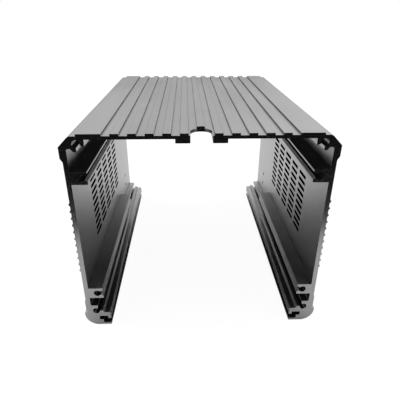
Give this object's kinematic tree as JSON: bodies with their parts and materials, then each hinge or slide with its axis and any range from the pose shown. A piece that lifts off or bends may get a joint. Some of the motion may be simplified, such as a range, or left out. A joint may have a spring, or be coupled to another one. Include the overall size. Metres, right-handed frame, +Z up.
{
  "type": "extruded aluminium enclosure",
  "caption": "Open U-shaped enclosure profile with ribbed top, vented side walls, screw bores and inner slots.",
  "frame": {"origin": "middle of the footprint, on the plane of the soles", "axes": "+X across the section to the right, +Y along the extrusion from front to back, +Z up"},
  "size_m": [0.166, 0.216, 0.1425],
  "materials": {
    "anodised_aluminium": "extruded, clear anodised, satin, with sawn ends"
  },
  "bodies": {
    "root": {"enclosure_extrusion": "anodised_aluminium"}
  },
  "joints": []
}
